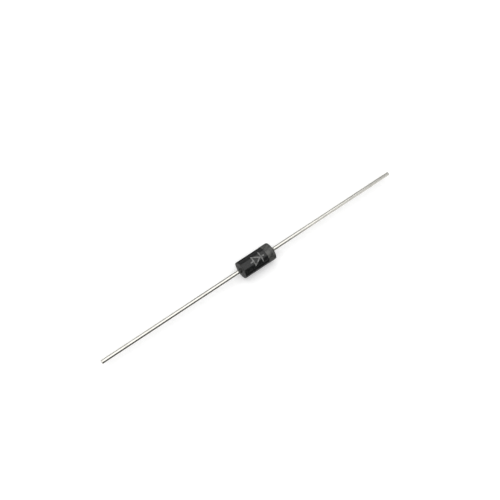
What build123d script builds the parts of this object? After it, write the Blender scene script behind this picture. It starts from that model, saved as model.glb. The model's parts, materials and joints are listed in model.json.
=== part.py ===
from build123d import *
import math
import os

# An axial rectifier diode: a moulded body on two tinned copper wires, with the chip sealed between
# the wires' nail heads. Lengths are in millimetres and angles in degrees.
# Origin: the middle of the body, on the line of the leads. +X runs out along the cathode lead, and
# the two halves of the mould part on the plane Z = 0.

# Moulded body
body_length = 5.2
body_diameter = 2.5
end_draft = 2.5  # lean of each end face away from the parting plane
rim_radius = 0.13
ridge_height = 0.02  # witness line left where the mould halves meet
ridge_width = 0.1
gate_length = 0.7  # stub of the broken gate, on the parting line
gate_width = 0.24
dimple_width = 0.15  # dip in the end face all round each lead
dimple_depth = 0.2

# Leads
lead_diameter = 0.55
lead_reach = 21.5  # from the end of the body to the cut end
cut_edge = 0.04  # chamfer left by the shear
heading_swell = 0.02  # radius that heading adds to the sealed wire, from nothing at the body's end
neck_length = 0.24  # cone from the nail head down to the wire
head_thickness = 0.2
head_edge = 0.05  # chamfer round the nail head's face
head_overhang = 0.1  # nail head beyond the chip's corners

# Chip and its joints
chip_side = 0.92  # across the wide face, which looks at the cathode
chip_thickness = 0.26
chip_bevel = 0.07  # lean of each side over the chip's thickness
solder_thickness = 0.06
solder_margin = 0.03  # from the edge of the chip's face to the solder
solder_flare = 0.04  # how much further the solder spreads on the nail head than on the chip
coating_bulge = 0.12

# Cathode band
band_width = 1.07
band_thickness = 0.02
band_setback = 0.01  # bare barrel between the band and the rounded rim

# Worked out from those
body_radius = body_diameter / 2
half_body = body_length / 2
end_lean = body_radius * math.tan(math.radians(end_draft))
lead_radius = lead_diameter / 2
lead_end = half_body + lead_reach
half_chip = chip_thickness / 2
head_face = half_chip + solder_thickness  # from the middle of the chip
head_back = head_face + head_thickness
neck_end = head_back + neck_length
head_radius = chip_side / math.sqrt(2) + head_overhang
seat_radius = head_radius - head_edge  # flat part of the nail head's face
anode_face_side = chip_side - 2 * chip_bevel

os.makedirs("parts", exist_ok=True)

# Leads
# Each wire is one piece with its cold-formed nail head: a disc with its edge broken, a cone that
# narrows to the wire, a sealed stretch that tapers, and an end with its edge broken by the shear.
with BuildPart() as cathode_lead:
    with BuildSketch(Plane.XZ):
        with BuildLine():
            Polyline(
                (head_face, 0),
                (head_face, seat_radius),
                (head_face + head_edge, head_radius),
                (head_back, head_radius),
                (neck_end, lead_radius + heading_swell),
                (half_body, lead_radius),
                (lead_end - cut_edge, lead_radius),
                (lead_end, lead_radius - cut_edge),
                (lead_end, 0),
                close=True,
            )
        make_face()
    revolve(axis=Axis.X)

with BuildPart() as anode_lead:
    mirror(cathode_lead.part, about=Plane.YZ)

# Chip
# The sides are bevelled, which leaves the face that looks at the anode smaller than the other.
with BuildPart() as silicon_chip:
    with BuildSketch(Plane.YZ.offset(-half_chip)):
        Rectangle(anode_face_side, anode_face_side)
    with BuildSketch(Plane.YZ.offset(half_chip)):
        Rectangle(chip_side, chip_side)
    loft(ruled=True)

# Solder
# A round pad joins each face of the chip to a nail head, and spreads a little on the nail head.
solder_pads = {}
for side, face_side in ((-1, anode_face_side), (1, chip_side)):
    pad_radius = face_side / 2 - solder_margin
    with BuildPart() as solder_pad:
        with BuildSketch(Plane.XZ):
            with BuildLine():
                Polyline(
                    (side * half_chip, 0),
                    (side * half_chip, pad_radius),
                    (side * head_face, pad_radius + solder_flare),
                    (side * head_face, 0),
                    close=True,
                )
            make_face()
        revolve(axis=Axis.X)
    solder_pads[side] = solder_pad

# Junction coating
# A bead of silicone fills the gap between the nail heads, round the chip and the solder, and its
# free surface swells beyond their flat faces.
with BuildPart() as junction_coating:
    with BuildSketch(Plane.XZ):
        with BuildLine():
            Polyline((-head_face, seat_radius), (-head_face, 0), (head_face, 0), (head_face, seat_radius))
            ThreePointArc(
                (-head_face, seat_radius), (0, seat_radius + coating_bulge), (head_face, seat_radius)
            )
        make_face()
    revolve(axis=Axis.X)
    add(silicon_chip.part, mode=Mode.SUBTRACT)
    for solder_pad in solder_pads.values():
        add(solder_pad.part, mode=Mode.SUBTRACT)

# Moulded body
# Each half of the mould shapes a half round whose end faces lean in, so that it can be drawn out.
with BuildPart() as epoxy_body:
    with BuildSketch(Plane.XZ):
        with BuildLine():
            Polyline(
                (-half_body, 0),
                (-half_body + end_lean, body_radius),
                (half_body - end_lean, body_radius),
                (half_body, 0),
                (half_body - end_lean, -body_radius),
                (-half_body + end_lean, -body_radius),
                close=True,
            )
        make_face()
    extrude(amount=body_radius, both=True)
    with BuildSketch(Plane.YZ):
        Circle(body_radius)
    extrude(amount=half_body, both=True, mode=Mode.INTERSECT)
    fillet(epoxy_body.edges().filter_by(GeomType.ELLIPSE), rim_radius)

    # Witness line: a low wedge all round the body in the parting plane, down both sides and both ends
    with BuildSketch(Plane.XY):
        RectangleRounded(
            body_length + 2 * ridge_height, body_diameter + 2 * ridge_height, rim_radius + ridge_height
        )
    ridge_slope = math.degrees(math.atan(ridge_height / (ridge_width / 2)))
    extrude(amount=ridge_width / 2, both=True, taper=ridge_slope)

    # Stub of the gate, as proud as the witness line that it stands on
    with BuildSketch(Plane.XZ.offset(-body_radius - ridge_height)):
        Rectangle(gate_length, gate_width)
    extrude(amount=body_radius - head_radius)

    # Dimple round each lead
    for side in (-1, 1):
        with BuildSketch(Plane.XZ):
            with BuildLine():
                Polyline(
                    (side * (half_body - dimple_depth), 0),
                    (side * (half_body - dimple_depth), lead_radius),
                    (side * half_body, lead_radius + dimple_width),
                    (side * (half_body + ridge_height), lead_radius + dimple_width),
                    (side * (half_body + ridge_height), 0),
                    close=True,
                )
            make_face()
        revolve(axis=Axis.X, mode=Mode.SUBTRACT)

    # The compound fills all the space that the sealed pieces and the leads leave
    for sealed in (cathode_lead, anode_lead, silicon_chip, junction_coating, *solder_pads.values()):
        add(sealed.part, mode=Mode.SUBTRACT)

# Cathode band
# A ring of ink round the barrel, which also climbs over the witness line.
band_end = half_body - end_lean - rim_radius - band_setback
with BuildPart() as cathode_band:
    with BuildSketch(Plane.YZ.offset(band_end)):
        Circle(body_radius + band_thickness)
        Rectangle(body_diameter + 2 * (ridge_height + band_thickness), ridge_width)
        Circle(seat_radius, mode=Mode.SUBTRACT)
    extrude(amount=-band_width)
    add(epoxy_body.part, mode=Mode.SUBTRACT)

pieces = {
    "epoxy_body": epoxy_body,
    "cathode_band": cathode_band,
    "anode_lead": anode_lead,
    "cathode_lead": cathode_lead,
    "silicon_chip": silicon_chip,
    "anode_solder": solder_pads[-1],
    "cathode_solder": solder_pads[1],
    "junction_coating": junction_coating,
}
for name, piece in pieces.items():
    piece.part.label = name
    export_step(piece.part, f"parts/{name}.step")
    print(f"{name}: {piece.part.volume:.4f} mm3")
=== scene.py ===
# %% [markdown]
# # Dressing an axial rectifier diode
#
# The object is a small black cylinder moulded round the middle of two tinned copper wires. A grey
# ring of ink marks its cathode end. Its chip, solder and silicone are sealed inside.
# This lesson takes the solid model as it stands, gives each piece that shows a finer skin with the
# same outline, and spends its effort on three finishes: moulding compound, ink and tinned wire.
# Everything is in metres, in the solid model's own frame: +X runs out along the cathode lead, +Z is
# up, and the near side is -Y.

import json
import math

import bmesh
import bpy
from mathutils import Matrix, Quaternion, Vector


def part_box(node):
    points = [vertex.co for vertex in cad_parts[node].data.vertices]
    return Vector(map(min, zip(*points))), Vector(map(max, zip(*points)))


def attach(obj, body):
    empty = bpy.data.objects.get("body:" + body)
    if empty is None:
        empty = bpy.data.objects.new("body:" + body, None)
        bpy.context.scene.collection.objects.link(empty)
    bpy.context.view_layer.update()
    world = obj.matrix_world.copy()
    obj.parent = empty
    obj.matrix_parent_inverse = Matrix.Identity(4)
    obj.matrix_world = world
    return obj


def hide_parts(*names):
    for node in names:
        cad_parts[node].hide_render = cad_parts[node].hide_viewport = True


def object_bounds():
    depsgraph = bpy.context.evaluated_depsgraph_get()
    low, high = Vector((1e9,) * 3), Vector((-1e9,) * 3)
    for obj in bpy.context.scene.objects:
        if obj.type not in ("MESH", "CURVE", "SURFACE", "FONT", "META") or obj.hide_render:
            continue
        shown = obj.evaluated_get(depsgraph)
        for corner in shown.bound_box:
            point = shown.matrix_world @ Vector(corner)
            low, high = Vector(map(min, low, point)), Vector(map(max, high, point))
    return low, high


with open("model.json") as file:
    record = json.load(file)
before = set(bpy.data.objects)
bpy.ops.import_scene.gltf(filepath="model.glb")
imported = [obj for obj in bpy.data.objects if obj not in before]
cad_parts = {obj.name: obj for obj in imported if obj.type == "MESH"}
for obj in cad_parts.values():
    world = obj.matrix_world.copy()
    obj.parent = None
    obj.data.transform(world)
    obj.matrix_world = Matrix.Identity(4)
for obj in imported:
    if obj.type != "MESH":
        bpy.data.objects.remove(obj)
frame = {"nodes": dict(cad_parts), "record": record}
cad_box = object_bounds()
print("nodes:", sorted(frame["nodes"]))

# %% [markdown]
# ## Sizes
#
# What can be measured on the solid model is measured there, so that nothing here drifts from it.
# The body's box gives its radius from its height, because the parting line only widens it sideways.
# The small sizes that a box can't give, such as the lean of the end faces, are named once below.

# %% Measure the large sizes
mm = 0.001

body_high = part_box("epoxy_body")[1]
band_low, band_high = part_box("cathode_band")
lead_low, lead_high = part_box("cathode_lead")
pin = next(m for m in frame["record"]["mounts"] if m["name"] == "cathode_pin")

body_radius = body_high.z
ridge_height = body_high.y - body_radius
half_body = body_high.x - ridge_height
band_thickness = band_high.z - body_radius
lead_radius = pin["dims"]["r_mm"] * mm
lead_end = lead_high.x
head_face = lead_low.x
head_radius = lead_high.z
print(f"body {2 * half_body / mm:.2f} x {2 * body_radius / mm:.2f} mm, lead {2 * lead_radius / mm:.2f} mm")

# %% Name the small sizes
rim_radius = 0.13 * mm  # rounding between the barrel and each end face
end_draft = math.tan(math.radians(2.5))  # slope of each end face away from the parting plane
ridge_half_width = 0.05 * mm  # witness line where the mould halves meet
gate_half_length = 0.35 * mm  # stub of the gate, along the witness line
gate_half_width = 0.12 * mm
dimple_depth = 0.2 * mm  # dip in the end face round each lead
dimple_width = 0.15 * mm
head_edge = 0.05 * mm  # bevel round the nail head's face
head_thickness = 0.2 * mm
neck_length = 0.24 * mm  # cone from the nail head down to the wire
heading_swell = 0.02 * mm  # added to the sealed wire's radius beside that cone
cut_edge = 0.04 * mm  # bevel at the sheared end
coating_bulge = 0.12 * mm  # swell of the silicone between the nail heads

dimple_radius = lead_radius + dimple_width
seat_radius = head_radius - head_edge
head_back = head_face + head_thickness
neck_end = head_back + neck_length
print(f"nail head {2 * head_radius / mm:.2f} mm across, neck ends {neck_end / mm:.2f} mm from the middle")

# %% [markdown]
# ## Camera
#
# The picture looks down on the diode from its near side and beyond its anode end, about 66 degrees
# above the card, and is rolled so that the leads climb to the right. Such a small thing needs a near
# clip plane that is closer than usual, or the camera would cut the object away.

# %% Place the camera
camera_place = Vector((-30.385, -22.23, 89.505)) * mm
camera_aim = Vector((0.265, 1.68, 0.005)) * mm
camera_roll = math.radians(16.55)
camera_lens = 52.07  # on the default 36 mm sensor
near_clip = 5 * mm
far_clip = 5.0

camera_data = bpy.data.cameras.new("camera")
camera_data.lens = camera_lens
camera_data.clip_start = near_clip
camera_data.clip_end = far_clip
camera = bpy.data.objects.new("camera", camera_data)
bpy.context.scene.collection.objects.link(camera)
camera.location = camera_place
camera.rotation_mode = "QUATERNION"
upright = (camera_aim - camera_place).to_track_quat("-Z", "Y")
camera.rotation_quaternion = upright @ Quaternion((0, 0, 1), camera_roll)
bpy.context.scene.camera = camera
bpy.context.scene.view_settings.view_transform = "Standard"
print(f"camera {(camera_aim - camera_place).length / mm:.1f} mm from its aim")

# %% [markdown]
# ## Node trees written as sums
#
# A noise that is scaled, clamped and mixed takes a dozen Math nodes, and wiring them one by one hides
# what they say. Here a small class wraps a socket, so that `1 - mask * 0.5` adds the Math nodes by
# itself. Any other node comes from one method, which takes its type, its settings and its inputs, and
# the kinds that come up often have a short method on top of that one.
# The same two classes serve for materials and for Geometry Nodes.


# %% Wrap a socket
class Signal:
    """An output socket. Python's operators on it add Math nodes to its tree."""

    def __init__(self, nodes, socket):
        self.nodes = nodes
        self.socket = socket

    def out(self, name):
        """Another output of the same node."""
        return Signal(self.nodes, self.socket.node.outputs[name])

    def __add__(self, other):
        return self.nodes.math("ADD", self, other)

    def __sub__(self, other):
        return self.nodes.math("SUBTRACT", self, other)

    def __rsub__(self, other):
        return self.nodes.math("SUBTRACT", other, self)

    def __mul__(self, other):
        return self.nodes.math("MULTIPLY", self, other)

    def __truediv__(self, other):
        return self.nodes.math("DIVIDE", self, other)

    def __rtruediv__(self, other):
        return self.nodes.math("DIVIDE", other, self)

    def __abs__(self):
        return self.nodes.math("ABSOLUTE", self)

    __radd__ = __add__
    __rmul__ = __mul__


# %% Wrap a tree
class Nodes:
    """Adds nodes to one tree."""

    def __init__(self, tree):
        self.tree = tree

    def add(self, kind, settings=None, inputs=None, output=0):
        """Any node, from its type, its settings and the values or links of its sockets."""
        node = self.tree.nodes.new(kind)
        for name, value in (settings or {}).items():
            setattr(node, name, value)
        for key, value in (inputs or {}).items():
            if isinstance(value, Signal):
                self.tree.links.new(value.socket, node.inputs[key])
            else:
                node.inputs[key].default_value = value
        return Signal(self, node.outputs[output]) if len(node.outputs) else node

    def math(self, operation, *values):
        return self.add("ShaderNodeMath", {"operation": operation}, dict(enumerate(values)))

    def ramp(self, value, low, high):
        """0 below low, 1 above high and smooth between, also where low is the higher number."""
        settings = {"interpolation_type": "SMOOTHSTEP"}
        inputs = {"Value": value, "From Min": low, "From Max": high}
        return self.add("ShaderNodeMapRange", settings, inputs)

    def noise(self, place, scale, detail=2.0, roughness=0.5):
        inputs = {"Vector": place, "Scale": scale, "Detail": detail, "Roughness": roughness}
        return self.add("ShaderNodeTexNoise", None, inputs)

    def split(self, vector):
        return self.add("ShaderNodeSeparateXYZ", None, {0: vector})

    def join(self, x, y, z):
        return self.add("ShaderNodeCombineXYZ", None, {0: x, 1: y, 2: z})

    def stretch(self, place, scale):
        """Coordinates scaled along each axis. A scale under 1 draws a pattern out along its axis."""
        return self.add("ShaderNodeMapping", {"vector_type": "POINT"}, {0: place, "Scale": scale})

    def mix_colors(self, factor, first, second):
        """Sockets 6 and 7 and output 2 are the Mix node's own for colours."""
        inputs = {0: factor, 6: first, 7: second}
        return self.add("ShaderNodeMix", {"data_type": "RGBA"}, inputs, output=2)

    def mix_shaders(self, factor, first, second):
        return self.add("ShaderNodeMixShader", None, {0: factor, 1: first, 2: second})

    def diffuse(self, albedo):
        return self.add("ShaderNodeBsdfDiffuse", None, {"Color": (albedo, albedo, albedo, 1)})

    def glow(self, strength):
        return self.add("ShaderNodeEmission", None, {"Strength": strength})


# %% [markdown]
# ## Stage and light
#
# The diode lies on white card under one broad soft box. The box hangs overhead and leans a little
# towards the far side and the anode's end. It draws the grey sheen along the top of the barrel and
# drops a pale shadow on the near side. The room adds an even fill that dims low on the near side.
# One trick stands for the many cards and flags of a studio: the card and the room look different to
# each kind of ray.
# To the camera the room is white and the card a little brighter than it is, so that faint shadows
# wash out as in an overexposed picture and the body's own shadow stays.
# To reflections the card is dark beside the part, a painted shade seen only in reflections, and the
# room has a white corner on the near side beyond the cathode's end and is paler at both ends. A tinned
# wire shows little but its surroundings: the dark zones draw the grey line along its lower edge and
# keep the flanks of the barrel black, and the white corner lightens the cathode lead.

# %% Mix the white of the card
card_albedo = 0.85
card_glow = 1.65  # seen in reflections only, where it makes up for the card's grey
card_glow_share = 0.25
shown_albedo = 0.9  # to the camera
shown_lift = 0.26  # added for the camera, where 1 is white

# painted shade on the card beside the part
reflected_shade_albedo = 0.02  # beside the part, seen in reflections only
reflected_shade_share = 0.93
aside_from, aside_full = 1.5 * mm, 3.2 * mm  # from the line of the leads, on either side
near_full, near_gone = 6 * mm, 9 * mm  # along +X: the near side is dark up to here
abreast_full, abreast_gone = 8 * mm, 12 * mm  # from the middle: both sides are dark up to here


def new_material(name):
    """A material with an empty tree, its Nodes and its output node."""
    material = bpy.data.materials.new(name)
    material.use_nodes = True
    material.node_tree.nodes.clear()
    nodes = Nodes(material.node_tree)
    return material, nodes, nodes.add("ShaderNodeOutputMaterial")


def white_card():
    material, nodes, output = new_material("white_card")
    ray = nodes.add("ShaderNodeLightPath")
    reflected = ray.out("Is Glossy Ray")
    off_or_through = nodes.math("MINIMUM", reflected + ray.out("Is Transmission Ray"), 1.0)
    glowing = nodes.mix_shaders(
        off_or_through * card_glow_share, nodes.diffuse(card_albedo), nodes.glow(card_glow)
    )

    place = nodes.split(nodes.add("ShaderNodeTexCoord", output="Object"))
    x = place.out("X")
    y = place.out("Y")
    near = nodes.math("LESS_THAN", y, 0.0) * nodes.ramp(x, near_gone, near_full)
    abreast = nodes.ramp(abs(x), abreast_gone, abreast_full)
    beside = nodes.ramp(abs(y), aside_from, aside_full) * nodes.math("MAXIMUM", near, abreast)
    dark = nodes.diffuse(reflected_shade_albedo)
    # painted shade: in reflections the card turns dark beside the part
    lighting = nodes.mix_shaders(beside * reflected * reflected_shade_share, glowing, dark)

    lifted = {0: nodes.diffuse(shown_albedo), 1: nodes.glow(shown_lift)}
    pictured = nodes.add("ShaderNodeAddShader", None, lifted)
    surface = nodes.mix_shaders(ray.out("Is Camera Ray"), lighting, pictured)
    nodes.tree.links.new(surface.socket, output.inputs["Surface"])
    return material


card_white = white_card()
print("mixed", card_white.name)

# %% Lay the card
floor_z = cad_box[0].z
card_half = 0.4


def link_mesh(name, vertices, edges, faces):
    mesh = bpy.data.meshes.new(name)
    mesh.from_pydata(vertices, edges, faces)
    mesh.update()
    made = bpy.data.objects.new(name, mesh)
    bpy.context.scene.collection.objects.link(made)
    return made


corner_signs = ((-1, -1), (1, -1), (1, 1), (-1, 1))
card_corners = [(x * card_half, y * card_half, floor_z) for x, y in corner_signs]
card = link_mesh("card", card_corners, [], [(0, 1, 2, 3)])
card.data.materials.append(card_white)
print(f"card at {floor_z / mm:.2f} mm")

# %% Hang the lamp
lamp_direction = Vector((-0.15, 0.05, 1.0)).normalized()
lamp_distance = 1.0
lamp_length = 1.56  # along the diode
lamp_width = 1.96  # across it
lamp_power = 12.4

lamp_data = bpy.data.lights.new("soft_box", "AREA")
lamp_data.shape = "RECTANGLE"
lamp_data.size = lamp_length
lamp_data.size_y = lamp_width
lamp_data.energy = lamp_power
lamp = bpy.data.objects.new("soft_box", lamp_data)
bpy.context.scene.collection.objects.link(lamp)
lamp.location = lamp_direction * lamp_distance
lamp.rotation_mode = "QUATERNION"
lamp.rotation_quaternion = Vector((0, 0, 1)).rotation_difference(lamp_direction)
print(f"lamp {lamp_power} W at {lamp_distance} m")

# %% Paint the room
# The bounds are parts of a direction of length 1: along Y, -1 is level on the near side and 0 overhead.
room_level = 0.42
near_dimming = 0.92
dim_from, dim_full = -0.4, -0.7  # along Y
corner_from, corner_full = 0.36, 0.42  # along X, on the near side
end_from, end_full = 0.55, 0.8  # along X, towards either end
end_whiteness = 0.4

world = bpy.data.worlds.new("room")
bpy.context.scene.world = world
world.use_nodes = True
world.node_tree.nodes.clear()
nodes = Nodes(world.node_tree)
ray = nodes.add("ShaderNodeLightPath")
direction = nodes.split(nodes.add("ShaderNodeTexCoord", output="Generated"))
near_side = nodes.ramp(direction.out("Y"), dim_from, dim_full)
fill = room_level * (1 - near_side * near_dimming)
white_corner = nodes.ramp(direction.out("X"), corner_from, corner_full) * near_side
white_end = nodes.ramp(abs(direction.out("X")), end_from, end_full) * end_whiteness
white = nodes.math("MAXIMUM", white_corner, white_end) * ray.out("Is Glossy Ray")
reflected_fill = fill * (1 - white) + white
camera_ray = ray.out("Is Camera Ray")
strength = reflected_fill * (1 - camera_ray) + camera_ray
background = nodes.add("ShaderNodeBackground", None, {"Color": (1, 1, 1, 1), "Strength": strength})
world_output = nodes.add("ShaderNodeOutputWorld")
world.node_tree.links.new(background.socket, world_output.inputs["Surface"])
print("room of", len(world.node_tree.nodes), "nodes")

# %% [markdown]
# ## Moulding compound
#
# The body is epoxy filled with fused silica and lamp black, pressed into a steel mould. Up close it is
# charcoal, not black: faintly cloudy, with specks of silica, a fine even grain from the spark-eroded
# mould and slow ripples. Handling leaves paler smudges. The end faces and rims are rougher, and their
# colour is lightened there as a painted sheen.
# All patterns read Object coordinates in millimetres, so their scales are features per millimetre.

# %% Mix the compound
compound_shift = (5.6, -5.1, 1.9)
charcoal_deep = (0.0045, 0.005, 0.0052, 1)
charcoal_pale = (0.0105, 0.0111, 0.0109, 1)
# the end faces and rims are lightened towards this grey as a painted sheen
end_sheen_grey = (0.034, 0.034, 0.033, 1)
silica_grey = (0.16, 0.16, 0.155, 1)
end_sheen_from, end_sheen_full = 0.16 * mm, 0.06 * mm  # short of the end of the body
compound_relief = 0.01 * mm


def place_in_mm(nodes, shift=(0, 0, 0)):
    """Object coordinates in millimetres, moved by a shift that picks another part of each pattern."""
    place = nodes.add("ShaderNodeTexCoord", output="Object")
    inputs = {0: place, 1: (1 / mm, 1 / mm, 1 / mm), 2: shift}
    return nodes.add("ShaderNodeVectorMath", {"operation": "MULTIPLY_ADD"}, inputs)


def distance_from_middle(nodes):
    """How far along the part, in millimetres, to either end."""
    return abs(nodes.split(place_in_mm(nodes)).out("X"))


def bump(nodes, height, depth):
    """A bump whose full height is depth, in metres."""
    return nodes.add("ShaderNodeBump", None, {"Strength": 1.0, "Distance": depth, "Height": height})


def principled(nodes, output, inputs):
    shader = nodes.add("ShaderNodeBsdfPrincipled", None, inputs)
    nodes.tree.links.new(shader.socket, output.inputs["Surface"])


def moulding_compound():
    material, nodes, output = new_material("moulding_compound")
    place = place_in_mm(nodes, compound_shift)
    clouds = nodes.noise(place, 1.3, detail=3.0, roughness=0.6)
    grain = nodes.noise(place, 22.0, detail=3.0, roughness=0.65)
    filler = nodes.noise(place, 60.0, detail=1.0)
    ripples = nodes.noise(place, 3.2)
    smudges = nodes.ramp(nodes.noise(place, 2.0, detail=4.0, roughness=0.65), 0.5, 0.72)
    specks = nodes.ramp(filler, 0.66, 0.74)
    toward_end = nodes.ramp(
        distance_from_middle(nodes), (half_body - end_sheen_from) / mm, (half_body - end_sheen_full) / mm
    )
    # rougher towards the ends, and lightened there as a painted sheen
    end_roughness_and_sheen = toward_end * (0.3 + clouds * 0.7)

    charcoal = nodes.mix_colors(clouds, charcoal_deep, charcoal_pale)
    toned = nodes.mix_colors(nodes.math("MAXIMUM", end_roughness_and_sheen, smudges * 0.6), charcoal, end_sheen_grey)
    speckled = nodes.mix_colors(specks * 0.3, toned, silica_grey)
    roughness = 0.1 + clouds * 0.07 + grain * 0.06 + end_roughness_and_sheen * 0.5 + smudges * 0.1
    relief = bump(nodes, ripples + grain * 0.25 + filler * 0.08, compound_relief)
    inputs = {"Base Color": speckled, "Roughness": roughness, "Specular IOR Level": 0.37, "Normal": relief}
    principled(nodes, output, inputs)
    return material


compound = moulding_compound()
print("mixed", compound.name)

# %% [markdown]
# ## Ink
#
# The band is rolled on and the mark is pad printed, both in a warm grey that dries to a low sheen. The
# coat is thin: it clouds from grey towards the black beneath, and pinholes and scuffs show through it.
# The pad lays more ink than the roller, so one function takes the two greys between which the coat
# clouds, and is called once for each.

# %% Mix the ink
ink_shift = (-17.5, -17.6, -11.8)
bare_grey = (0.03, 0.03, 0.03, 1)  # compound seen through a pinhole
ink_relief = 0.003 * mm


def marking_ink(name, thin_grey, full_grey):
    material, nodes, output = new_material(name)
    place = place_in_mm(nodes, ink_shift)
    cover = nodes.ramp(nodes.noise(place, 2.6, detail=4.0, roughness=0.62), 0.36, 0.62)
    pinholes = nodes.ramp(nodes.noise(place, 17.0, detail=2.0, roughness=0.6), 0.36, 0.27)
    grain = nodes.noise(place, 30.0)
    coat = nodes.mix_colors(cover, thin_grey, full_grey)
    worn = nodes.mix_colors(pinholes * 0.75, coat, bare_grey)
    roughness = 0.24 + grain * 0.14 - cover * 0.04
    relief = bump(nodes, grain - pinholes, ink_relief)
    principled(nodes, output, {"Base Color": worn, "Roughness": roughness, "Normal": relief})
    return material


band_ink = marking_ink("band_ink", (0.022, 0.0225, 0.0208, 1), (0.105, 0.105, 0.098, 1))
print_ink = marking_ink("print_ink", (0.095, 0.096, 0.092, 1), (0.22, 0.221, 0.215, 1))
print("mixed", band_ink.name, "and", print_ink.name)

# %% [markdown]
# ## Tinned wire
#
# The wire is drawn, which leaves faint scratches along it, and then dipped or plated with tin, which
# flows over them in long soft waves and tarnishes here and there to a warm silver. The noise is
# stretched along X for the scratches, and less so for the waves of tin. Where the wire leaves the
# body it is dark, with an uneven edge: a thin film of resin has bled along it, and the shade of the
# dimple it comes out of is painted on there too.

# %% Tin the wire
tin_deep = (0.58, 0.57, 0.525, 1)
tin_pale = (0.74, 0.73, 0.685, 1)
tarnish_grey = (0.46, 0.45, 0.41, 1)
# resin film and painted shade where the wire leaves the body
resin_and_shade_dark = (0.03, 0.03, 0.028, 1)
resin_shade_full, resin_shade_gone = 0.24 * mm, 0.48 * mm  # from the end of the body
resin_shade_unevenness = 0.3 * mm
tin_relief = 0.005 * mm


def tinned_wire():
    material, nodes, output = new_material("tinned_wire")
    place = place_in_mm(nodes)
    scratches = nodes.noise(nodes.stretch(place, (0.06, 1, 1)), 38.0, detail=3.0, roughness=0.6)
    waves = nodes.noise(nodes.stretch(place, (0.35, 1, 1)), 3.2, detail=3.0, roughness=0.55)
    tarnish = nodes.ramp(nodes.noise(place, 1.1, detail=4.0, roughness=0.65), 0.46, 0.72)
    out_of_body = distance_from_middle(nodes) - half_body / mm
    uneven = out_of_body + (waves - 0.5) * (resin_shade_unevenness / mm)
    # dark near the body: part resin film, part painted shade
    resin_and_shade = nodes.ramp(uneven, resin_shade_gone / mm, resin_shade_full / mm)

    silver = nodes.mix_colors(waves, tin_deep, tin_pale)
    toned = nodes.mix_colors(tarnish * 0.45, silver, tarnish_grey)
    resin_shaded = nodes.mix_colors(resin_and_shade * 0.95, toned, resin_and_shade_dark)
    roughness = 0.1 + waves * 0.06 + scratches * 0.08 + tarnish * 0.08 + resin_and_shade * 0.2
    relief = bump(nodes, scratches * 0.15 + waves, tin_relief)
    inputs = {"Base Color": resin_shaded, "Metallic": 1.0 - resin_and_shade * 0.8, "Roughness": roughness, "Normal": relief}
    principled(nodes, output, inputs)
    return material


tin = tinned_wire()
print("mixed", tin.name)

# %% [markdown]
# ## A lathe made of nodes
#
# The body, the band and both wires are turned shapes: an outline carried round the X axis. One node
# tree does it for all of them. It reads the outline's points one by one with Sample Index, and sets
# each row of a grid at its own angle round the axis.
# The body isn't quite a turned shape, though. Its end faces lean away from the parting plane, a low
# ridge runs round it where the mould halves met, and the stub of the gate stands on that ridge. Those
# are offsets that follow from a point's own place, so the same tree adds them, and they are nil for
# the wires. Its columns crowd together at the parting line, where the relief is narrow.
# The core is the body shrunk by its rim radius: the direction from it to a point is the outward normal.

# %% Name the lathe's inputs
lathe_inputs = {
    "Stations": "NodeSocketInt",
    "Columns": "NodeSocketInt",
    "Crowding": "NodeSocketFloat",
    "Core Half Length": "NodeSocketFloat",
    "Core Radius": "NodeSocketFloat",
    "Half Length": "NodeSocketFloat",
    "Draft": "NodeSocketFloat",
    "Ridge Height": "NodeSocketFloat",
    "Ridge Half Width": "NodeSocketFloat",
    "Ridge From Radius": "NodeSocketFloat",
    "Gate Half Length": "NodeSocketFloat",
    "Gate Half Width": "NodeSocketFloat",
    "Sink": "NodeSocketFloat",
    "Edge Wander": "NodeSocketFloat",
    "Material": "NodeSocketMaterial",
}


def new_tree(name, inputs):
    """A tree with its Geometry and these inputs, its Nodes and its input node."""
    tree = bpy.data.node_groups.new(name, "GeometryNodeTree")
    tree.is_modifier = True
    for title, kind in {"Geometry": "NodeSocketGeometry", **inputs}.items():
        tree.interface.new_socket(title, in_out="INPUT", socket_type=kind)
    tree.interface.new_socket("Geometry", in_out="OUTPUT", socket_type="NodeSocketGeometry")
    nodes = Nodes(tree)
    return tree, nodes, nodes.add("NodeGroupInput")


def finish_tree(nodes, given, geometry):
    """Every tree ends in plain geometry that carries its material."""
    real = nodes.add("GeometryNodeRealizeInstances", None, {0: geometry})
    inputs = {"Geometry": real, "Material": given.out("Material")}
    dressed = nodes.add("GeometryNodeSetMaterial", None, inputs)
    nodes.add("NodeGroupOutput", None, {0: dressed})


print("lathe with", len(lathe_inputs), "inputs")

# %% Build the lathe
one_place = 1e-7  # points closer than this are one
core_skin = 1e-6  # a point no further out than this belongs to the core
tiny = 1e-9  # keeps a division sound
ridge_onset = 1.06  # the ridge is at its height at this many times its first radius
gate_flat_length = 0.9  # shares of the gate's sizes that are flat
gate_flat_width = 0.85
tear_depth = 0.45  # of the gate's broken face, as a share of its height


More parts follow.
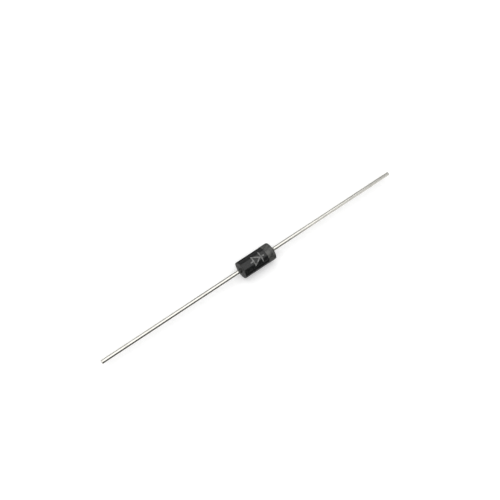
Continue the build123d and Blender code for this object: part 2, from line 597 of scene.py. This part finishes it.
def lathe_tree():
    tree, nodes, given = new_tree("lathe", lathe_inputs)
    stations = given.out("Stations")
    columns = given.out("Columns")
    grid_inputs = {"Vertices X": columns + 1, "Vertices Y": stations}
    grid = nodes.add("GeometryNodeMeshGrid", None, grid_inputs)

    # The outline's point that each point of the grid stands for
    index = nodes.add("GeometryNodeInputIndex")
    column = nodes.math("FLOOR", index / stations)
    position = nodes.add("GeometryNodeInputPosition")
    sample_settings = {"data_type": "FLOAT_VECTOR", "domain": "POINT"}
    sample_inputs = {"Geometry": given, "Value": position, "Index": index - column * stations}
    outline = nodes.split(nodes.add("GeometryNodeSampleIndex", sample_settings, sample_inputs))
    x = outline.out("X")
    radius = outline.out("Z")

    # Its angle round the axis
    turn = column / columns * math.tau
    angle = turn - given.out("Crowding") * nodes.math("SINE", turn * 2) / 2
    side = nodes.math("COSINE", angle)
    up = nodes.math("SINE", angle)
    height = abs(up * radius)

    # From the core to the point: nil inside the core, where the sealed pieces lie
    core_end = given.out("Core Half Length")
    core_x = nodes.math("MAXIMUM", nodes.math("MINIMUM", x, core_end), core_end * -1)
    out_x = x - core_x
    out_r = radius - nodes.math("MINIMUM", radius, given.out("Core Radius"))
    reach = nodes.math("SQRT", out_x * out_x + out_r * out_r)
    outside = nodes.math("GREATER_THAN", reach, core_skin)
    normal_x = out_x / nodes.math("MAXIMUM", reach, tiny)
    normal_r = out_r / nodes.math("MAXIMUM", reach, tiny)

    # Relief of the parting line and the gate, and the shallow sink marks of the mould
    ridge_start = given.out("Ridge From Radius")
    ridge_profile = nodes.ramp(height, given.out("Ridge Half Width"), 0.0)
    ridge = ridge_profile * nodes.ramp(radius, ridge_start, ridge_start * ridge_onset)
    gate_end = given.out("Gate Half Length")
    gate_edge = given.out("Gate Half Width")
    gate_x = nodes.ramp(abs(x), gate_end, gate_end * gate_flat_length)
    gate_z = nodes.ramp(height, gate_edge, gate_edge * gate_flat_width)
    gate = gate_x * gate_z * nodes.math("GREATER_THAN", side, 0.0)
    place = nodes.join(x / mm, side * radius / mm, up * radius / mm)
    tear = (1 - tear_depth) + nodes.noise(place, 9.0, detail=3.0) * tear_depth
    dip = nodes.noise(place, 0.9, detail=1.0) * given.out("Sink")
    raised = nodes.math("MAXIMUM", ridge, gate * tear) * given.out("Ridge Height")
    rise = (raised - dip) * outside

    leaned_x = x * (1 - height * given.out("Draft") * outside / given.out("Half Length"))
    wander = (nodes.noise(place, 3.0, detail=3.0) - 0.5) * given.out("Edge Wander")
    final_x = leaned_x + normal_x * rise + wander
    final_r = radius + normal_r * rise
    final_place = nodes.join(final_x, side * final_r, up * final_r)
    moved = nodes.add("GeometryNodeSetPosition", None, {"Geometry": grid, "Position": final_place})
    closed = nodes.add("GeometryNodeMergeByDistance", None, {"Geometry": moved, "Distance": one_place})
    finish_tree(nodes, given, closed)
    return tree


lathe = lathe_tree()
print("lathe tree of", len(lathe.nodes), "nodes")

# %% [markdown]
# ## Running a tree
#
# The outline is a row of points on a host object. The modifier's inputs are set by their identifiers,
# the evaluated result becomes a plain mesh, and the modifier goes.


# %% Evaluate a tree into a plain mesh
def grow(name, vertices, edges, faces, tree, sizes, sharp_degrees=30.0):
    piece = link_mesh(name, vertices, edges, faces)
    host = piece.data
    modifier = piece.modifiers.new("grow", "NODES")
    modifier.node_group = tree
    sockets = {item.name: item.identifier for item in tree.interface.items_tree if item.in_out == "INPUT"}
    for title, value in sizes.items():
        modifier[sockets[title]] = value
    depsgraph = bpy.context.evaluated_depsgraph_get()
    mesh = bpy.data.meshes.new_from_object(piece.evaluated_get(depsgraph), depsgraph=depsgraph)
    piece.modifiers.clear()
    piece.data = mesh
    bpy.data.meshes.remove(host)
    mesh.name = name
    check = bmesh.new()
    check.from_mesh(mesh)
    bmesh.ops.recalc_face_normals(check, faces=check.faces)
    volume = check.calc_volume(signed=True)
    open_edges = sum(not edge.is_manifold for edge in check.edges)
    check.to_mesh(mesh)
    check.free()
    mesh.shade_smooth()
    mesh.set_sharp_from_angle(angle=math.radians(sharp_degrees))
    print(f"{name}: {len(mesh.polygons)} faces, {open_edges} open edges, {volume / mm**3:.3f} mm3")
    return piece


# %% Turn an outline into a skin
wire_columns = 64
body_columns = 128
body_crowding = 0.85  # towards the parting line: 0 is even, and 1 would make columns meet there


def turned(name, outline, material, slot, columns=wire_columns, crowding=0.0, **relief):
    """A closed or axis-to-axis outline of (x, radius) points carried round X."""
    points = [(x, 0.0, radius) for x, radius in outline]
    edges = [(i, i + 1) for i in range(len(points) - 1)]
    sizes = {
        "Stations": len(points),
        "Columns": columns,
        "Crowding": crowding,
        "Core Half Length": half_body - rim_radius,
        "Core Radius": body_radius - rim_radius,
        "Half Length": half_body,
        "Ridge From Radius": dimple_radius,
        "Ridge Half Width": ridge_half_width,
        "Gate Half Length": gate_half_length,
        "Gate Half Width": gate_half_width,
        "Material": material,
        **{key.replace("_", " ").title(): value for key, value in relief.items()},
    }
    piece = grow(name, points, edges, [], lathe, sizes)
    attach(piece, "root")
    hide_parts(name.removesuffix("_skin"))


def steps(start, end, count):
    """Evenly spaced values from start to end, without the end itself."""
    return [start + (end - start) * i / count for i in range(count)]


print("wires of", wire_columns, "columns, body of", body_columns)

# %% [markdown]
# ## Body
#
# The outline goes along the outside from the anode's dimple to the cathode's, and comes back through
# the hollow that the wires and the chip fill, so that the mesh closes on itself as the solid does.
# The stations stand closer together at the gate, whose edges they have to catch.

# %% Draw one end of the body
rim_steps = 8
face_steps = 7
dimple_steps = 4
dimple_rounding = 0.03 * mm  # from the dimple's corner to either end of its rounding


def cathode_end():
    """From the start of the rim to the hole that the lead comes out of."""
    rim_centre = half_body - rim_radius
    face_top = body_radius - rim_radius
    quarter = [math.pi / 2 * i / rim_steps for i in range(rim_steps)]
    rim = [(rim_centre + rim_radius * math.sin(a), face_top + rim_radius * math.cos(a)) for a in quarter]
    face = [(half_body, r) for r in steps(face_top, dimple_radius + dimple_rounding, face_steps)]
    slant = math.hypot(dimple_depth, dimple_width)
    down_x, down_r = dimple_depth / slant, dimple_width / slant
    rounding = [
        (
            half_body - t**2 * dimple_rounding * down_x,
            dimple_radius + ((1 - t) ** 2 - t**2 * down_r) * dimple_rounding,
        )
        for t in (i / dimple_steps for i in range(dimple_steps + 1))
    ]
    return rim + face + rounding + [(half_body - dimple_depth, lead_radius)]


def mirrored(points):
    return [(-x, r) for x, r in reversed(points)]


print(len(cathode_end()), "stations from the rim to the lead")

# %% Turn the body
barrel_steps = 20
gate_edge_steps = 5
gate_steps = 10
bulge_steps = 12
gate_margin = 0.05 * mm  # on either side of the gate's edge, where the stations crowd
sink_depth = 0.006 * mm


def sealed_half():
    """The hollow's outline from the wire's exit to the nail head's face."""
    return [
        (neck_end, lead_radius + heading_swell),
        (head_back, head_radius),
        (head_face + head_edge, head_radius),
        (head_face, seat_radius),
    ]


def body_outline():
    rim_start = half_body - rim_radius
    inner, outer = gate_half_length - gate_margin, gate_half_length + gate_margin
    barrel = steps(-rim_start, -outer, barrel_steps) + steps(-outer, -inner, gate_edge_steps)
    barrel += steps(-inner, inner, gate_steps) + steps(inner, outer, gate_edge_steps)
    barrel += steps(outer, rim_start, barrel_steps)
    outside = mirrored(cathode_end())[:-1] + [(x, body_radius) for x in barrel] + cathode_end()
    bulge_radius = (head_face**2 + coating_bulge**2) / (2 * coating_bulge)
    bulge_centre = seat_radius + coating_bulge - bulge_radius
    bulge = [
        (x, bulge_centre + math.sqrt(bulge_radius**2 - x**2))
        for x in steps(head_face, -head_face, bulge_steps)[1:]
    ]
    return outside + sealed_half() + bulge + mirrored(sealed_half()) + outside[:1]


turned(
    "epoxy_body_skin",
    body_outline(),
    compound,
    "moulding_compound",
    columns=body_columns,
    crowding=body_crowding,
    draft=end_draft,
    ridge_height=ridge_height,
    sink=sink_depth,
)

# %% [markdown]
# ## Leads
#
# Each wire is drawn, headed like a nail inside the body, and sheared at its far end. The stations
# along the free stretch are only there to keep its faces a sensible shape.

# %% Turn the leads
wire_steps = 48
half_lead = [
    (head_face, 0.0),
    (head_face, seat_radius),
    (head_face + head_edge, head_radius),
    (head_back, head_radius),
    (neck_end, lead_radius + heading_swell),
    *[(x, lead_radius) for x in steps(half_body, lead_end - cut_edge, wire_steps)],
    (lead_end - cut_edge, lead_radius),
    (lead_end, lead_radius - cut_edge),
    (lead_end, 0.0),
]
turned("cathode_lead_skin", half_lead, tin, "tinned_wire")
turned("anode_lead_skin", mirrored(half_lead), tin, "tinned_wire")

# %% [markdown]
# ## Cathode band
#
# The ring of ink is turned too, from a thin oblong outline with its outer corners drawn in. It climbs
# over the parting line because it has the same relief, and its edges wander by a few hundredths of a
# millimetre, as a rolled edge does.

# %% Turn the band
band_steps = 10
band_wander = 0.04 * mm
ink_edge = band_thickness / 2  # how far the outer corners are drawn in
ink_top = body_radius + band_thickness
band_outline = [
    (band_low.x, body_radius),
    (band_low.x, ink_top - ink_edge),
    *[(x, ink_top) for x in steps(band_low.x + ink_edge, band_high.x - ink_edge, band_steps)],
    (band_high.x - ink_edge, ink_top),
    (band_high.x, ink_top - ink_edge),
    (band_high.x, body_radius),
    *[(x, body_radius) for x in steps(band_high.x, band_low.x, band_steps)[1:]],
    (band_low.x, body_radius),
]
turned(
    "cathode_band_skin",
    band_outline,
    band_ink,
    "band_ink",
    columns=body_columns,
    crowding=body_crowding,
    ridge_height=ridge_height,
    edge_wander=band_wander,
)

# %% [markdown]
# ## Printed mark
#
# Such bodies carry a printed mark on the barrel. Here it is the plain circuit symbol of a diode, an
# arrow against a bar, in line with the part and pointing to the band. It is drawn flat as one outline
# with a triangular hole, cut into small faces so that it can bend, and wrapped on the barrel by a
# second tree, which gives it the thickness of a coat of ink and makes its edges a little ragged.

# %% Draw the mark's outline
mark_middle = -0.15 * mm  # along the barrel, from its middle
stroke = 0.17 * mm
arrow_length = 1.3 * mm
arrow_half_height = 0.78 * mm
tail_length = 0.42 * mm


def mark_loops():
    """The mark's outer outline and the hole of its arrow, as (along, across) points."""
    half = stroke / 2
    base = mark_middle - arrow_length / 2
    tip = mark_middle + arrow_length / 2
    bar = tip - half
    slope = arrow_half_height / arrow_length
    meets = slope * (tip - bar)
    lower = [
        (base - tail_length, -half),
        (base, -half),
        (base, -arrow_half_height),
        (bar, -meets),
        (bar, -arrow_half_height),
        (bar + stroke, -arrow_half_height),
        (bar + stroke, -half),
        (bar + stroke + tail_length, -half),
    ]
    outer = lower + [(x, -y) for x, y in reversed(lower)]
    inset = stroke * math.hypot(1, slope)
    hole_base = base + stroke
    hole_tip = tip - inset / slope
    hole_half = slope * (hole_tip - hole_base)
    return outer, [(hole_base, -hole_half), (hole_tip, 0.0), (hole_base, hole_half)]


print("mark of", sum(len(loop) for loop in mark_loops()), "corners")

# %% Fill the mark and cut it small
mark_grid = 0.05 * mm


def flat_mark():
    """Vertices and faces of the mark, filled and cut by a square grid."""
    flat = bmesh.new()
    for loop in mark_loops():
        corners = [flat.verts.new((x, y, 0)) for x, y in loop]
        for i, corner in enumerate(corners):
            flat.edges.new((corners[i - 1], corner))
    bmesh.ops.triangle_fill(flat, edges=flat.edges, use_beauty=True)
    low = Vector((min(v.co.x for v in flat.verts), min(v.co.y for v in flat.verts), 0))
    high = Vector((max(v.co.x for v in flat.verts), max(v.co.y for v in flat.verts), 0))
    for axis in (0, 1):
        cut_normal = Vector((axis == 0, axis == 1, 0))
        for i in range(1, int((high - low)[axis] / mark_grid)):
            geometry = flat.verts[:] + flat.edges[:] + flat.faces[:]
            cut_at = low + cut_normal * (i * mark_grid)
            bmesh.ops.bisect_plane(
                flat, geom=geometry, plane_co=cut_at, plane_no=cut_normal, dist=one_place
            )
    for face in flat.faces:
        if face.normal.z < 0:
            face.normal_flip()
    vertices = [tuple(v.co) for v in flat.verts]
    faces = [tuple(v.index for v in face.verts) for face in flat.faces]
    flat.free()
    return vertices, faces


mark_vertices, mark_faces = flat_mark()
print("flat mark of", len(mark_faces), "faces")

# %% Build the wrap
wrap_inputs = {
    "Radius": "NodeSocketFloat",
    "Turn": "NodeSocketFloat",
    "Thickness": "NodeSocketFloat",
    "Sink": "NodeSocketFloat",
    "Raggedness": "NodeSocketFloat",
    "Material": "NodeSocketMaterial",
}
ragged_scale = 8.0  # features of the ragged edge per millimetre
across_shift = (7, 3, 0)  # another part of the noise, for the shifts across the mark


def wrap_tree():
    tree, nodes, given = new_tree("wrap", wrap_inputs)

    def ragged(place):
        noise = nodes.noise(place, ragged_scale, detail=3.0)
        return (noise - 0.5) * given.out("Raggedness")

    def wrapped(lift):
        """The flat mark bent to the barrel, lifted off it by the given amount."""
        position = nodes.add("GeometryNodeInputPosition")
        to_mm = {0: position, "Scale": 1 / mm}
        place = nodes.add("ShaderNodeVectorMath", {"operation": "SCALE"}, to_mm)
        elsewhere = nodes.add("ShaderNodeVectorMath", {"operation": "ADD"}, {0: place, 1: across_shift})
        flat = nodes.split(position)
        radius = given.out("Radius") + lift
        angle = (flat.out("Y") + ragged(elsewhere)) / given.out("Radius") - given.out("Turn")
        along = flat.out("X") + ragged(place)
        bent = nodes.join(along, nodes.math("SINE", angle) * radius, nodes.math("COSINE", angle) * radius)
        return nodes.add("GeometryNodeSetPosition", None, {"Geometry": given, "Position": bent})

    thickness = given.out("Thickness") + given.out("Sink")
    base = wrapped(given.out("Sink") * -1)
    raised = {"Mesh": base, "Offset Scale": thickness, "Individual": False}
    top = nodes.add("GeometryNodeExtrudeMesh", {"mode": "FACES"}, raised)
    bottom = nodes.add("GeometryNodeFlipFaces", None, {0: base})
    joined = nodes.add("GeometryNodeJoinGeometry", None, {0: top})
    tree.links.new(bottom.socket, joined.socket.node.inputs[0])
    closed = nodes.add("GeometryNodeMergeByDistance", None, {"Geometry": joined, "Distance": one_place})
    finish_tree(nodes, given, closed)
    return tree


wrap = wrap_tree()
print("wrap tree of", len(wrap.nodes), "nodes")

# %% Wrap the mark round the barrel
mark_sizes = {
    "Radius": body_radius,
    "Turn": math.radians(10),  # from straight up towards the near side
    "Thickness": 0.012 * mm,
    "Sink": 0.004 * mm,  # of its underside into the barrel, so that no gap shows
    "Raggedness": 0.03 * mm,
    "Material": print_ink,
}
mark = grow("printed_mark", mark_vertices, [], mark_faces, wrap, mark_sizes, sharp_degrees=60.0)
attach(mark, "root")

# %% [markdown]
# ## Sealed pieces
#
# Nothing shows of the chip, its solder and its silicone, but someone may hide the body to look at
# them. They keep their solid meshes and get their own finishes: cut silicon with saw lines, solder
# that froze in soft grains, and a milky rubber.

# %% Finish the sealed pieces
saw_relief = 0.003 * mm
grain_relief = 0.006 * mm
rubber_relief = 0.004 * mm


def cut_silicon():
    material, nodes, output = new_material("cut_silicon")
    saw_lines = nodes.noise(nodes.stretch(place_in_mm(nodes), (1, 0.08, 1)), 26.0)
    color = nodes.mix_colors(saw_lines, (0.1, 0.105, 0.125, 1), (0.2, 0.205, 0.23, 1))
    relief = bump(nodes, saw_lines, saw_relief)
    inputs = {"Base Color": color, "Metallic": 0.6, "Roughness": 0.25 + saw_lines * 0.2, "Normal": relief}
    principled(nodes, output, inputs)
    return material


def frozen_solder():
    material, nodes, output = new_material("frozen_solder")
    grain_inputs = {"Vector": place_in_mm(nodes), "Scale": 14.0}
    grains = nodes.add("ShaderNodeTexVoronoi", None, grain_inputs)
    color = nodes.mix_colors(grains, (0.6, 0.6, 0.61, 1), (0.44, 0.44, 0.46, 1))
    relief = bump(nodes, grains, grain_relief)
    inputs = {"Base Color": color, "Metallic": 1.0, "Roughness": 0.32 + grains * 0.2, "Normal": relief}
    principled(nodes, output, inputs)
    return material


def milky_silicone():
    material, nodes, output = new_material("milky_silicone")
    clouds = nodes.noise(place_in_mm(nodes), 4.0, detail=3.0)
    color = nodes.mix_colors(clouds, (0.7, 0.69, 0.64, 1), (0.82, 0.81, 0.78, 1))
    relief = bump(nodes, clouds, rubber_relief)
    inputs = {"Base Color": color, "Roughness": 0.35 + clouds * 0.15, "Normal": relief}
    principled(nodes, output, inputs)
    return material


solder_finish = frozen_solder()
sealed_finishes = {
    "silicon_chip": cut_silicon(),
    "anode_solder": solder_finish,
    "cathode_solder": solder_finish,
    "junction_coating": milky_silicone(),
}
for name, finish in sealed_finishes.items():
    materials = frame["nodes"][name].data.materials
    materials.clear()
    materials.append(finish)
print("finished", ", ".join(sealed_finishes))
